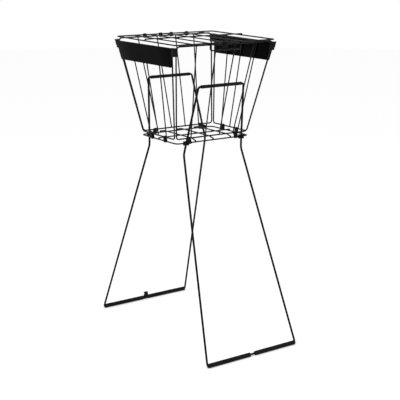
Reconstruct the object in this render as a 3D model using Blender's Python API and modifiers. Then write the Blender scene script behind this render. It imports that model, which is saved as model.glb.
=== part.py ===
# Tennis ball basket: four wire panels clipped into a tapered basket, a wire
# lid hinged on the back rim, a wire floor that balls are pushed up through,
# and two wire legs that fold up over the rim to become the carrying handles.
#
# Metres, +Z up. X runs along the front panel, the front faces -Y, and the
# origin is on the floor at the middle of the four feet.

import math

import bmesh
import bpy
from mathutils import Matrix, Vector

# Fits
seat_gap = 0.0003            # between two pieces that touch
running_gap = 0.00035        # between a wire and the eye it turns in

# Basket, measured on wire centres
rim_height = 0.8845
side_rim_drop = 0.0052       # side panels' top wires below the front one
back_rim_rise = 0.0022       # back panel's top wire above the front one
basket_height = 0.2685
top_width = 0.350
top_depth = 0.308
bottom_width = 0.256
bottom_depth = 0.178
corner_gap_top = 0.008       # corner line to each panel's edge wire
corner_gap_bottom = 0.004
loop_wire_radius = 0.0021
bar_wire_radius = 0.0018
loop_bend_radius = 0.010
front_bars = 4
side_bars = 3

# Floor of the basket
floor_drop = 0.012           # floor frame below the panels' bottom wires
floor_side_inset = 0.001     # floor frame inside the side panels' bottom wires
floor_end_reach = 0.005      # floor frame outside the front and back panels'
floor_bend_radius = 0.012
frame_wire_radius = 0.0020
floor_wire_radius = 0.0019
floor_wires = 3
floor_wire_pitch = 0.062
floor_wire_step = 0.018      # length of the jog at each end of a floor wire
floor_wire_tail = 0.0015     # how far a floor wire passes the frame wire

# Snap clips that tie the floor frame to the panels
clip_wall = 0.0018
clip_mouth = 0.0030
side_clip_width = 0.009
end_clip_width = 0.010
clip_bar_gap = 0.0013        # between a clip and the upright bar beside it

# Corner clips
corner_clip_height = 0.0245
corner_clip_drop = 0.0025    # top of the clip below the rim wire's centre
corner_clip_arm = 0.0112
corner_clip_out = 0.0045
corner_clip_in = 0.0012
corner_clip_hook = 0.0044    # wall behind the side loop's edge wire
corner_clip_edge = 0.0008

# Sign plates on the two narrow sides
plate_top = 0.0024           # upper edge below the rim, along the slope
plate_foot = 0.058           # lower edge below the rim, along the slope
plate_thickness = 0.0020
plate_end_gap = 0.0009       # between the plate's end and the corner clip

# Hinge tubes, one welded across the front panel and one across the back
hinge_drop = 0.1175          # below the rim
hinge_tube_radius = 0.0049
hinge_end_play = 0.0007      # between the tube and the leg wire's bend

# Legs
leg_wire_radius = 0.0031
hinge_bar_width = 0.1564
kink_drop = 0.0336           # kink below the floor frame
kink_width = 0.2034
foot_width = 0.3174
foot_spread = 0.5892
hinge_bend_radius = 0.007
kink_bend_radius = 0.030
foot_bend_radius = 0.005

# Grips on the foot bars
grip_radius = 0.0065
grip_sides = 16
grip_space = 0.017           # bare wire between the two grips of a bar
grip_end_gap = 0.0017        # grip's end to the middle of the upright wire
grip_edge = 0.0010
handle_gap = 0.0006          # between front and back grips when folded up

# Forked catches that hold the legs at the floor frame
catch_width = 0.014
catch_height = 0.012
catch_inside = 0.0014
catch_prong = 0.0045
catch_play = 0.0011

# Clip on the back foot bar that holds the front one when folded up
handle_clip_width = 0.014
handle_clip_wall = 0.0021
hook_tip = math.radians(25)
hook_heel = math.radians(15)

# Lid
lid_side_inset = 0.0040      # lid frame inside the side rims
lid_end_reach = 0.0025       # lid frame outside the front and back rims
lid_bend_radius = 0.008
lid_rise = 0.003             # back wire above the front wire
lid_bars = 5
lid_bar_radius = 0.0018
lid_clip_width = 0.009
lid_clip_offsets = (0.019, 0.075)

# Wire pull and moulded catch on the lid's front wire
pull_width = 0.106
pull_drop = 0.0155           # pull's lower bar below the rim
pull_wire_radius = 0.0020
pull_bend_radius = 0.006
lid_catch_width = 0.014
lid_catch_drop = 0.011
lid_catch_wall = 0.0020
lid_catch_end = math.radians(68)   # where its eye ends, clear above the middle bar
lid_latch_offset = -0.004    # pull and catch sit a little left of the middle

# Derived places
floor_line = rim_height - basket_height
frame_line = floor_line - floor_drop
hinge_line = rim_height - hinge_drop
foot_line = grip_radius * math.cos(math.pi / grip_sides)
kink_line = frame_line - kink_drop
floor_width = bottom_width - 2 * floor_side_inset
floor_depth = bottom_depth + 2 * floor_end_reach
lid_width = top_width - 2 * lid_side_inset
lid_depth = top_depth + 2 * lid_end_reach
hinge_tube_length = hinge_bar_width - 2 * (hinge_bend_radius + hinge_end_play)


def bar_share(k, bars):
    """Where upright bar k of a panel stands, from -1 at one edge wire to 1 at the other."""
    return 2 * (k + 1) / (bars + 1) - 1


def rise(z):
    """Share of the basket's height at z, 0 at the bottom wires and 1 at the rim."""
    return (z - floor_line) / basket_height


def half_width(z):
    return 0.5 * (bottom_width + (top_width - bottom_width) * rise(z))


def half_depth(z):
    return 0.5 * (bottom_depth + (top_depth - bottom_depth) * rise(z))


def corner_gap(z):
    return corner_gap_bottom + (corner_gap_top - corner_gap_bottom) * rise(z)


face_tilt = math.atan2(0.5 * (top_depth - bottom_depth), basket_height)
side_tilt = math.atan2(0.5 * (top_width - bottom_width), basket_height)
hinge_out = (half_depth(hinge_line)
             + (bar_wire_radius + seat_gap + hinge_tube_radius) / math.cos(face_tilt))
# The leg leans on the floor frame's wire, which sets the slope of its upper part.
stop_out = 0.5 * floor_depth + frame_wire_radius + seat_gap + 1.02 * leg_wire_radius
leg_slope = (hinge_out - stop_out) / (hinge_line - frame_line)
kink_out = hinge_out - leg_slope * (hinge_line - kink_line)
foot_out = 0.5 * foot_spread
lid_front_line = rim_height + loop_wire_radius + seat_gap + frame_wire_radius


def lid_line(y):
    """Height of the lid's wires at a distance y from the middle."""
    return lid_front_line + lid_rise * (y / lid_depth + 0.5)


# Collections

for old in list(bpy.data.objects):
    bpy.data.objects.remove(old, do_unlink=True)

basket = bpy.data.collections.new("tennis_ball_basket")
cutters = bpy.data.collections.new("cutters")
bpy.context.scene.collection.children.link(basket)
bpy.context.scene.collection.children.link(cutters)

finishes = {
    "gloss": ((0.012, 0.012, 0.013), 0.28, 0.0),     # black powder coat on steel wire
    "moulded": ((0.015, 0.015, 0.016), 0.38, 0.0),   # black moulded clips
    "plate": ((0.010, 0.010, 0.011), 0.32, 0.0),
    "grip": ((0.018, 0.018, 0.019), 0.55, 0.0),
}


def add_material(obj, finish):
    colour, roughness, metallic = finishes[finish]
    material = bpy.data.materials.new(obj.name)
    material.use_nodes = True
    shader = material.node_tree.nodes["Principled BSDF"]
    shader.inputs["Base Color"].default_value = (*colour, 1.0)
    shader.inputs["Roughness"].default_value = roughness
    shader.inputs["Metallic"].default_value = metallic
    obj.data.materials.append(material)


def as_cutter(obj):
    obj.display_type = "WIRE"
    obj.hide_render = True
    return obj


def joint_empty(name, place):
    empty = bpy.data.objects.new(name, None)
    empty.location = place
    empty.empty_display_size = 0.03
    basket.objects.link(empty)
    return empty


def attach(obj, parent):
    """Parent a piece to a joint's empty without moving it."""
    if parent is not None:
        obj.parent = parent
        obj.location = Vector(obj.location) - Vector(parent.location)
    return obj


# Wires

def fillet(corner, before, after, radius, steps):
    """Points of a bend of one radius between two straight runs."""
    to_before = (before - corner).normalized()
    to_after = (after - corner).normalized()
    half = 0.5 * to_before.angle(to_after)
    centre = corner + (to_before + to_after).normalized() * radius / math.sin(half)
    start = corner + to_before * radius / math.tan(half) - centre
    end = corner + to_after * radius / math.tan(half) - centre
    sweep = start.angle(end)
    return [centre + (start * math.sin((1 - k / steps) * sweep)
                      + end * math.sin(k / steps * sweep)) / math.sin(sweep)
            for k in range(steps + 1)]


def bent(corners, radii, closed=False, steps=5):
    """A wire's path: straight runs between corners, each corner bent to its radius."""
    corners = [Vector(c) for c in corners]
    points = []
    for k, corner in enumerate(corners):
        if not closed and k in (0, len(corners) - 1):
            points.append(corner)
        else:
            points += fillet(corner, corners[k - 1], corners[(k + 1) % len(corners)],
                             radii[k], steps)
    return points


def wire(name, points, radius, closed=False, finish="gloss", origin=(0, 0, 0), home=basket):
    origin = Vector(origin)
    curve = bpy.data.curves.new(name, "CURVE")
    curve.dimensions = "3D"
    curve.bevel_depth = radius
    curve.bevel_resolution = 2
    curve.use_fill_caps = True
    spline = curve.splines.new("POLY")
    spline.points.add(len(points) - 1)
    for spot, place in zip(spline.points, points):
        spot.co = (*(Vector(place) - origin), 1.0)
    spline.use_cyclic_u = closed
    obj = bpy.data.objects.new(name, curve)
    obj.location = origin
    home.objects.link(obj)
    if home is basket:
        add_material(obj, finish)
    else:
        as_cutter(obj)
    return obj


def as_mesh(obj, home=basket):
    """The curve as a mesh object with its caps welded, so it can take a Boolean."""
    bpy.context.view_layer.update()
    shown = obj.evaluated_get(bpy.context.evaluated_depsgraph_get())
    mesh = bpy.data.meshes.new_from_object(shown)
    shape = bmesh.new()
    shape.from_mesh(mesh)
    bmesh.ops.remove_doubles(shape, verts=shape.verts, dist=0.000002)
    bmesh.ops.recalc_face_normals(shape, faces=shape.faces)
    shape.to_mesh(mesh)
    shape.free()
    name, matrix = obj.name, obj.matrix_world.copy()
    bpy.data.objects.remove(obj, do_unlink=True)
    solid = bpy.data.objects.new(name, mesh)
    solid.matrix_world = matrix
    home.objects.link(solid)
    return solid if home is basket else as_cutter(solid)


def boolean(obj, other, operation):
    step = obj.modifiers.new(other.name, "BOOLEAN")
    step.object = other
    step.operation = operation
    step.solver = "EXACT"


def smooth(obj, angle=35):
    obj.data.shade_smooth()
    obj.data.set_sharp_from_angle(angle=math.radians(angle))


def outline(name, loops, thickness, matrix, finish="moulded"):
    """A flat outline, holes included, given a thickness about its own plane."""
    curve = bpy.data.curves.new(name, "CURVE")
    curve.dimensions = "2D"
    curve.fill_mode = "BOTH"
    curve.extrude = 0.5 * thickness
    for loop in loops:
        spline = curve.splines.new("POLY")
        spline.points.add(len(loop) - 1)
        for spot, (u, v) in zip(spline.points, loop):
            spot.co = (u, v, 0.0, 1.0)
        spline.use_cyclic_u = True
    obj = bpy.data.objects.new(name, curve)
    basket.objects.link(obj)
    add_material(obj, finish)
    obj.matrix_world = matrix
    return as_mesh(obj)


# Panels

def front_point(side, z):
    return lambda s: (s * (half_width(z) - corner_gap(z)), side * half_depth(z), z)


def side_point(side, z):
    return lambda s: (side * half_width(z), s * (half_depth(z) - corner_gap(z)), z)


def panel_loop(point, side, top_line):
    top, bottom = point(side, top_line), point(side, floor_line)
    corners = [top(-1), top(1), bottom(1), bottom(-1)]
    return bent(corners, [loop_bend_radius] * 4, closed=True)


def panel(name, point, side, top_line, bars):
    """A closed trapezoid of wire with upright bars welded inside it."""
    path = panel_loop(point, side, top_line)
    loop = as_mesh(wire(name, path, loop_wire_radius, closed=True))
    top, bottom = point(side, top_line), point(side, floor_line)
    for k in range(bars):
        s = bar_share(k, bars)
        bar = wire(f"{name}_bar_{k + 1}", [bottom(s), top(s)], bar_wire_radius, home=cutters)
        boolean(loop, as_mesh(bar, cutters), "UNION")
    return loop


side_rim = rim_height - side_rim_drop
back_rim = rim_height + back_rim_rise
panels = {
    "front_panel": (front_point, -1, rim_height, front_bars),
    "back_panel": (front_point, 1, back_rim, front_bars),
    "left_panel": (side_point, -1, side_rim, side_bars),
    "right_panel": (side_point, 1, side_rim, side_bars),
}
for name, (point, side, top_line, bars) in panels.items():
    panel(name, point, side, top_line, bars)


# Corner clips, an angle of plastic snapped over two neighbouring loops. Its nose
# covers the corner, and its side arm hooks in behind the sign plate's end.

wire_room = {}
for name, (point, side, top_line, bars) in panels.items():
    room = wire(f"{name}_room", panel_loop(point, side, top_line), loop_wire_radius + seat_gap,
                closed=True, home=cutters)
    wire_room[name] = as_mesh(room, cutters)


def corner_clip(name, sx, sy):
    """An angle with level ends whose sides follow the leaning corner of the basket."""
    rim = back_rim if sy > 0 else rim_height
    middle_z = rim - corner_clip_drop - 0.5 * corner_clip_height
    lean_x = 0.5 * sx * (top_width - bottom_width) / basket_height
    lean_y = 0.5 * sy * (top_depth - bottom_depth) / basket_height
    skew = Matrix(((-sx, 0, lean_x, 0), (0, -sy, lean_y, 0), (0, 0, 1, 0), (0, 0, 0, 1)))
    out, inn, arm, hook = -corner_clip_out, corner_clip_in, corner_clip_arm, corner_clip_hook
    under = -loop_wire_radius
    nip = 0.6 * corner_clip_out
    plate_end = corner_gap(middle_z - 0.5 * corner_clip_height) - loop_wire_radius
    nose = plate_end - plate_end_gap
    shape = [(out + nip, out), (arm, out), (arm, inn), (hook, inn), (hook, arm), (under, arm),
             (under, nose), (out, nose), (out, out + nip)]
    place = Matrix.Translation((sx * half_width(middle_z), sy * half_depth(middle_z), middle_z))
    clip = outline(name, [shape], corner_clip_height, place)
    clip.data.transform(skew)
    if sx * sy < 0:
        clip.data.flip_normals()
    bevel = clip.modifiers.new("edges", "BEVEL")
    bevel.width = corner_clip_edge
    bevel.segments = 1
    boolean(clip, wire_room["front_panel" if sy < 0 else "back_panel"], "DIFFERENCE")
    boolean(clip, wire_room["left_panel" if sx < 0 else "right_panel"], "DIFFERENCE")


for fore, sy in (("front", -1), ("back", 1)):
    for hand, sx in (("left", -1), ("right", 1)):
        corner_clip(f"corner_clip_{fore}_{hand}", sx, sy)


# Sign plates, flat sheets outside the side loops

def sign_plate(name, side):
    """A sheet just below the rim whose ends cover the side loop's two edge wires."""
    down = Vector((-side * math.sin(side_tilt), 0, -math.cos(side_tilt)))
    out = Vector((side * math.cos(side_tilt), 0, -math.sin(side_tilt)))
    rim = Vector((side * half_width(rim_height), 0, rim_height))
    seat = rim + out * (loop_wire_radius + seat_gap)
    mesh = bpy.data.meshes.new(name)
    sheet = bmesh.new()
    bmesh.ops.create_cube(sheet, size=2.0)
    for vert in sheet.verts:
        place = seat + down * (plate_top if vert.co.z > 0 else plate_foot)
        if side * vert.co.x > 0:
            place += out * plate_thickness
        reach = half_depth(place.z) - corner_gap(place.z) + loop_wire_radius
        vert.co = place + Vector((0, vert.co.y * reach, 0))
    sheet.to_mesh(mesh)
    sheet.free()
    plate = bpy.data.objects.new(name, mesh)
    basket.objects.link(plate)
    add_material(plate, "plate")


sign_plate("left_sign_plate", -1)
sign_plate("right_sign_plate", 1)


# Hinge tubes

def hinge_tube(name, side):
    inner = leg_wire_radius + running_gap
    half = 0.5 * hinge_tube_length
    lip = 0.0004
    profile = [(half - lip, hinge_tube_radius), (half, hinge_tube_radius - lip), (half, inner),
               (-half, inner), (-half, hinge_tube_radius - lip), (lip - half, hinge_tube_radius)]
    mesh = bpy.data.meshes.new(name)
    ring = bmesh.new()
    verts = [ring.verts.new((r, 0, x)) for x, r in profile]
    for k, vert in enumerate(verts):
        ring.edges.new((vert, verts[(k + 1) % len(verts)]))
    ring.to_mesh(mesh)
    ring.free()
    tube = bpy.data.objects.new(name, mesh)
    tube.matrix_world = (Matrix.Translation((0, side * hinge_out, hinge_line))
                         @ Matrix.Rotation(math.pi / 2, 4, "Y"))
    basket.objects.link(tube)
    add_material(tube, "gloss")
    turn = tube.modifiers.new("turn", "SCREW")
    turn.steps = turn.render_steps = 16
    turn.use_merge_vertices = True
    turn.merge_threshold = 0.00001
    turn.use_normal_calculate = True
    smooth(tube)


hinge_tube("front_hinge_tube", -1)
hinge_tube("back_hinge_tube", 1)


# Floor of the basket: a frame, one cross wire and three long wires

def floor_frame_path(level=frame_line):
    x, y = 0.5 * floor_width, 0.5 * floor_depth
    return bent([(-x, -y, level), (x, -y, level), (x, y, level), (-x, y, level)],
                [floor_bend_radius] * 4, closed=True)


wire("floor_frame", floor_frame_path(), frame_wire_radius, closed=True)
seated_line = frame_line + frame_wire_radius + seat_gap + floor_wire_radius
raised_line = seated_line + 2 * floor_wire_radius + seat_gap
cross_reach = 0.5 * floor_width + floor_wire_tail
wire("floor_cross_wire", [(-cross_reach, 0, seated_line), (cross_reach, 0, seated_line)],
     floor_wire_radius)
long_reach = 0.5 * floor_depth + floor_wire_tail
inner_reach = 0.5 * floor_depth - frame_wire_radius
for k in range(floor_wires):
    x = (k - 0.5 * (floor_wires - 1)) * floor_wire_pitch
    path = [(x, -long_reach, seated_line), (x, -inner_reach, seated_line),
            (x, floor_wire_step - inner_reach, raised_line),
            (x, inner_reach - floor_wire_step, raised_line),
            (x, inner_reach, seated_line), (x, long_reach, seated_line)]
    wire(f"floor_wire_{k + 1}", bent(path, [0, 0.010, 0.010, 0.010, 0.010, 0], steps=2),
         floor_wire_radius)


# Two-eye snap clips

def arc(centre, radius, first, last, steps):
    """Points of a flat arc, angles in radians, both ends included."""
    return [(centre + radius * math.cos(first + (last - first) * k / steps),
             radius * math.sin(first + (last - first) * k / steps)) for k in range(steps + 1)]


def eye_loop(near_hole, far_hole, length):
    """Outline of a clip with an open eye at each end, the far one length along +u."""
    rim = max(near_hole, far_hole) + clip_wall
    points = []
    for centre, hole, facing in ((length, far_hole, 0.0), (0.0, near_hole, math.pi)):
        outer = math.asin(0.5 * clip_mouth / rim)
        inner = math.asin(0.5 * clip_mouth / hole)
        points += arc(centre, rim, facing - math.pi / 2, facing - outer, 4)
        points += arc(centre, hole, facing - inner, facing + inner - 2 * math.pi, 12)
        points += arc(centre, rim, facing + outer, facing + math.pi / 2, 4)
    return points


def across_wires(name, loop, near, far, axis, centre, width):
    """Extrude a clip's outline along axis, its u direction running from near to far."""
    near, far, axis = Vector(near), Vector(far), Vector(axis)
    along = (far - near).normalized()
    matrix = Matrix((along, axis.cross(along), axis)).transposed().to_4x4()
    matrix.translation = near + axis * centre
    return outline(name, [loop], width, matrix)


def eye_clip(name, near, near_wire, far, far_wire, axis, centre, width, gap=seat_gap):
    loop = eye_loop(near_wire + gap, far_wire + gap, (Vector(far) - Vector(near)).length)
    return across_wires(name, loop, near, far, axis, centre, width)


# End clips stand just outside the outermost bars, side clips just inside them.
outer_bar = bar_share(front_bars - 1, front_bars) * (half_width(floor_line) - corner_gap_bottom)
end_clip_offset = outer_bar + bar_wire_radius + clip_bar_gap + 0.5 * end_clip_width
outer_bar = bar_share(side_bars - 1, side_bars) * (half_depth(floor_line) - corner_gap_bottom)
side_clip_offset = outer_bar - bar_wire_radius - clip_bar_gap - 0.5 * side_clip_width

for fore, sy in (("front", -1), ("back", 1)):
    for hand, sx in (("left", -1), ("right", 1)):
        eye_clip(f"floor_clip_{fore}_{hand}",
                 (0, sy * half_depth(floor_line), floor_line), loop_wire_radius,
                 (0, sy * 0.5 * floor_depth, frame_line), frame_wire_radius,
                 (1, 0, 0), sx * end_clip_offset, end_clip_width)
        eye_clip(f"side_clip_{fore}_{hand}",
                 (sx * half_width(floor_line), 0, floor_line), loop_wire_radius,
                 (sx * 0.5 * floor_width, 0, frame_line), frame_wire_radius,
                 (0, 1, 0), sy * side_clip_offset, side_clip_width)


# Legs

def leg_path(side):
    hinge, kink, foot = side * hinge_out, side * kink_out, side * foot_out
    half_hinge, half_kink, half_foot = 0.5 * hinge_bar_width, 0.5 * kink_width, 0.5 * foot_width
    corners = [(-half_hinge, hinge, hinge_line), (-half_kink, kink, kink_line),
               (-half_foot, foot, foot_line), (half_foot, foot, foot_line),
               (half_kink, kink, kink_line), (half_hinge, hinge, hinge_line)]
    radii = [hinge_bend_radius, kink_bend_radius, foot_bend_radius,
             foot_bend_radius, kink_bend_radius, hinge_bend_radius]
    return bent(corners, radii, closed=True)


def grip(name, side, hand, room, parent):
    """A sleeve on half of a foot bar, bored along the wire."""
    inner = 0.5 * grip_space
    outer = 0.5 * foot_width - grip_end_gap
    mesh = bpy.data.meshes.new(name)
    shape = bmesh.new()
    flat = Matrix.Rotation(math.pi / grip_sides, 4, "Z")
    bmesh.ops.create_cone(shape, cap_ends=True, segments=grip_sides, radius1=grip_radius,
                          radius2=grip_radius, depth=outer - inner,
                          matrix=Matrix.Rotation(math.pi / 2, 4, "Y") @ flat)
    shape.to_mesh(mesh)
    shape.free()
    sleeve = bpy.data.objects.new(name, mesh)
    sleeve.location = (hand * 0.5 * (inner + outer), side * foot_out, foot_line)
    basket.objects.link(sleeve)
    add_material(sleeve, "grip")
    edges = sleeve.modifiers.new("edges", "BEVEL")
    edges.width = grip_edge
    edges.segments = 2
    edges.limit_method = "ANGLE"
    edges.angle_limit = math.radians(60)
    boolean(sleeve, room, "DIFFERENCE")
    smooth(sleeve)
    return attach(sleeve, parent)


hinges = {}
for fore, side in (("front", -1), ("back", 1)):
    axis_point = (0, side * hinge_out, hinge_line)
    hinges[fore] = joint_empty(f"{fore}_leg_hinge", axis_point)
    leg = wire(f"{fore}_leg", leg_path(side), leg_wire_radius, closed=True, origin=axis_point)
    attach(leg, hinges[fore])
    room = as_mesh(wire(f"{fore}_leg_room", leg_path(side), leg_wire_radius + seat_gap,
                        closed=True, home=cutters), cutters)
    for hand, sx in (("left", -1), ("right", 1)):
        grip(f"{fore}_grip_{hand}", side, sx, room, hinges[fore])


# Forked catches on the floor frame, one round each leg wire

frame_room = as_mesh(wire("floor_frame_room", floor_frame_path(), frame_wire_radius + seat_gap,
                          closed=True, home=cutters), cutters)


def box(name, low, high, home):
    mesh = bpy.data.meshes.new(name)
    shape = bmesh.new()
    bmesh.ops.create_cube(shape, size=1.0)
    size = Vector(high) - Vector(low)
    bmesh.ops.scale(shape, vec=size, verts=shape.verts)
    shape.to_mesh(mesh)
    shape.free()
    obj = bpy.data.objects.new(name, mesh)
    obj.location = (Vector(low) + Vector(high)) / 2
    home.objects.link(obj)
    return obj


def leg_catch(name, sx, sy):
    share = (hinge_line - frame_line) / (hinge_line - kink_line)
    x = sx * 0.5 * (hinge_bar_width + (kink_width - hinge_bar_width) * share)
    frame_y = 0.5 * floor_depth
    reach = stop_out + catch_prong
    ys = sorted((sy * (frame_y - catch_inside), sy * reach))
    z = frame_line
    block = box(name, (x - 0.5 * catch_width, ys[0], z - 0.5 * catch_height),
                (x + 0.5 * catch_width, ys[1], z + 0.5 * catch_height), basket)
    add_material(block, "moulded")
    edges = block.modifiers.new("edges", "BEVEL")
    edges.width = corner_clip_edge
    edges.segments = 1
    half_slot = leg_wire_radius + catch_play
    slot_floor = (stop_out - 0.5 * leg_slope * catch_height - 1.03 * leg_wire_radius
                  - running_gap)
    slot_y = sorted((sy * slot_floor, sy * (reach + catch_prong)))
    slot = as_cutter(box(f"{name}_slot", (x - half_slot, slot_y[0], z - catch_height),
                         (x + half_slot, slot_y[1], z + catch_height), cutters))
    boolean(block, slot, "DIFFERENCE")
    boolean(block, frame_room, "DIFFERENCE")


for fore, sy in (("front", -1), ("back", 1)):
    for hand, sx in (("left", -1), ("right", 1)):
        leg_catch(f"leg_catch_{fore}_{hand}", sx, sy)


# Handle clip, turning on the bare wire between the back grips

def hook_loop(hole, rim, length):
    """An open eye at the near end and, length along +u, a hook that opens sideways."""
    lip = math.asin(0.5 * clip_mouth / rim)
    mouth = math.asin(0.5 * clip_mouth / hole)
    points = arc(length, rim, math.pi / 2, -hook_tip, 8)
    points += arc(length, hole, -hook_tip, math.pi + hook_heel, 12)
    points += arc(0, rim, -hook_heel, lip - math.pi, 8)
    points += arc(0, hole, mouth - math.pi, math.pi - mouth, 12)
    points += arc(0, rim, math.pi - lip, math.pi / 2, 4)
    return points


handle_axis = joint_empty("handle_clip_axis", (0, foot_out, foot_line))
handle_pitch = 2 * foot_line + handle_gap
hook_hole = leg_wire_radius + running_gap
handle_clip = across_wires("handle_clip",
                           hook_loop(hook_hole, hook_hole + handle_clip_wall, handle_pitch),
                           (0, foot_out, foot_line), (0, foot_out, foot_line + handle_pitch),
                           (1, 0, 0), 0.0, handle_clip_width)
attach(handle_clip, handle_axis)
attach(handle_axis, hinges["back"])


# Lid, turning on its own back wire

def lid_point(x, y, lift=0.0):
    return (x, y, lid_line(y) + lift)


lid_x, lid_y = 0.5 * lid_width, 0.5 * lid_depth
lid_axis = lid_point(0, lid_y)
lid_hinge = joint_empty("lid_hinge", lid_axis)
lid_frame = as_mesh(wire(
    "lid_frame", bent([lid_point(-lid_x, -lid_y), lid_point(lid_x, -lid_y),
                       lid_point(lid_x, lid_y), lid_point(-lid_x, lid_y)],
                      [lid_bend_radius] * 4, closed=True),
    frame_wire_radius, closed=True, origin=lid_axis))
for k in range(lid_bars):
    x = lid_x * bar_share(k, lid_bars)
    bar = wire(f"lid_bar_{k + 1}", [lid_point(x, -lid_y), lid_point(x, lid_y)],
               lid_bar_radius, home=cutters)
    boolean(lid_frame, as_mesh(bar, cutters), "UNION")
attach(lid_frame, lid_hinge)

lift = lid_bar_radius + frame_wire_radius + seat_gap
attach(wire("lid_cross_wire", [lid_point(-lid_x, 0, lift), lid_point(lid_x, 0, lift)],
            lid_bar_radius, origin=lid_axis), lid_hinge)

# Hinge clips stay on the back rim, and the lid's back wire turns in their upper eyes.
clip_places = sorted(sign * offset for offset in lid_clip_offsets for sign in (-1, 1))
for k, x in enumerate(clip_places):
    eye_clip(f"lid_hinge_clip_{k + 1}", (0, half_depth(back_rim), back_rim),
             loop_wire_radius, lid_axis, frame_wire_radius, (1, 0, 0), x, lid_clip_width,
             gap=running_gap)

pull_y = -(half_depth(rim_height) + loop_wire_radius + 1.5 * seat_gap + pull_wire_radius)
pull_top = lid_line(-lid_y) - frame_wire_radius - seat_gap
pull_low = rim_height - pull_drop
pull_left = lid_latch_offset - 0.5 * pull_width
pull_right = lid_latch_offset + 0.5 * pull_width
attach(wire("lid_pull", bent([(pull_left, pull_y, pull_top), (pull_left, pull_y, pull_low),
                              (pull_right, pull_y, pull_low), (pull_right, pull_y, pull_top)],
                             [0, pull_bend_radius, pull_bend_radius, 0]),
            pull_wire_radius, origin=lid_axis), lid_hinge)

# The catch hugs the lid's front wire, and its tongue bears on the rim from outside.
catch_hole = frame_wire_radius + seat_gap
catch_rim = catch_hole + lid_catch_wall
tongue_face = lid_end_reach - loop_wire_radius - 1.5 * seat_gap
tongue_low = -(lid_line(-lid_y) - rim_height + lid_catch_drop)
tongue = [(-catch_rim, tongue_low), (tongue_face, tongue_low)]
tongue += arc(0, catch_hole, -math.pi / 2, lid_catch_end - 2 * math.pi, 9)
tongue += arc(0, catch_rim, lid_catch_end, math.pi, 6)
face = Matrix(((0, 0, 1, 0), (1, 0, 0, -lid_y), (0, 1, 0, lid_line(-lid_y)), (0, 0, 0, 1)))
face.translation.x = lid_latch_offset
attach(outline("lid_catch", [tongue], lid_catch_width, face), lid_hinge)
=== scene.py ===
import math

import bmesh
import bpy
from mathutils import Matrix, Vector


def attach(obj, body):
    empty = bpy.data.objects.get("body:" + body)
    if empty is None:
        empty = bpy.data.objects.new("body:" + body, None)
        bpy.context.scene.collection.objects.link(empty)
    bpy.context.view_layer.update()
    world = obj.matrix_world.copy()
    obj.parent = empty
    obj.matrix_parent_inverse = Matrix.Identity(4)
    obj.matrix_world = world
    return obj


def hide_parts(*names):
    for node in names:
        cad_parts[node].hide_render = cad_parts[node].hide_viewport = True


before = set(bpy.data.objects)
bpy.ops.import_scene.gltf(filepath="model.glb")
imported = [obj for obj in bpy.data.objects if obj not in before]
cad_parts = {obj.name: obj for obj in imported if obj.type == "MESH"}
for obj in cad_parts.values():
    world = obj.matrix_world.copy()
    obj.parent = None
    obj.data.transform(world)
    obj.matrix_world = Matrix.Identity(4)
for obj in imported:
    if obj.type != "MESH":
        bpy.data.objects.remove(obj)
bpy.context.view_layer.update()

# Tennis ball basket of coated wire on two folding wire legs.
# Metres, Z up, the front faces -Y. Sizes are those of the solids underneath.


# Camera, lamps and studio floor

cameraView = {
    "azimuth": -34.32,       # degrees round the basket from the front
    "elevation": 14.18,
    "distance": 3.0263,
    "aimHeight": 0.4035,
    "lens": 89.93,
    "shiftX": 0.0127,
}
studio = {
    "floorRadius": 9.0,
    "floorShade": 0.86,
    "floorRoughness": 0.9,
    "floorGlow": 0.30,       # brings the floor up to the white of the backdrop
    "skyLight": 0.50,        # what the sky gives to the object
    "keyStrength": 1.15,
    "keySoftness": 22.0,     # degrees
    "keyAzimuth": -70.0,
    "keyElevation": 52.0,
    "keyDistance": 4.0,
    "topPower": 9.0,
    "topSize": 0.55,
    "topDistance": 2.0,
    "topLean": -0.12,        # towards the front, for each metre of height
    "fillPower": 4.0,
    "fillSize": 1.6,
    "fillAzimuth": 35.0,
    "fillElevation": 20.0,
    "fillDistance": 2.6,
    "fillAim": 0.6,          # heights that the lamps point at
    "lampAim": 0.5,
}


def turnedWay(azimuth, elevation):
    # from the basket outwards: azimuth 0 is the front, 90 the right side
    a = math.radians(azimuth)
    e = math.radians(elevation)
    return Vector((math.sin(a) * math.cos(e), -math.cos(a) * math.cos(e), math.sin(e)))


def addObject(name, data):
    thing = bpy.data.objects.new(name, data)
    bpy.context.scene.collection.objects.link(thing)
    return thing


def placeFacing(thing, way, distance, aim):
    # distance away from the point at height aim, looking back at it
    thing.location = Vector((0, 0, aim)) + way * distance
    thing.rotation_euler = way.to_track_quat("Z", "Y").to_euler()


def addLamp(name, kind, way, distance, aim, **settings):
    lamp = bpy.data.lights.new(name, kind)
    for key, value in settings.items():
        setattr(lamp, key, value)
    placeFacing(addObject(name, lamp), way, distance, aim)


def newMaterial(name):
    material = bpy.data.materials.new(name)
    material.use_nodes = True
    tree = material.node_tree
    return material, tree, tree.nodes["Principled BSDF"].inputs


def addNode(tree, kind, feeds=None, **settings):
    # feeds: socket name or number -> a value, or the output socket that feeds it
    node = tree.nodes.new(kind)
    for key, value in settings.items():
        setattr(node, key, value)
    for socket, source in (feeds or {}).items():
        if isinstance(source, bpy.types.NodeSocket):
            tree.links.new(source, node.inputs[socket])
        else:
            node.inputs[socket].default_value = source
    return node


def mathNode(tree, operation, *values, clamp=False):
    return addNode(tree, "ShaderNodeMath", dict(enumerate(values)), operation=operation,
                   use_clamp=clamp).outputs[0]


def rangeNode(tree, value, low, high, toLow=0.0, toHigh=1.0, **settings):
    return addNode(tree, "ShaderNodeMapRange",
                   {"Value": value, "From Min": low, "From Max": high, "To Min": toLow,
                    "To Max": toHigh}, **settings).outputs[0]


def mixNode(tree, factor, first, second):
    return addNode(tree, "ShaderNodeMix", {"Factor": factor, 6: first, 7: second},
                   data_type="RGBA").outputs[2]


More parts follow.
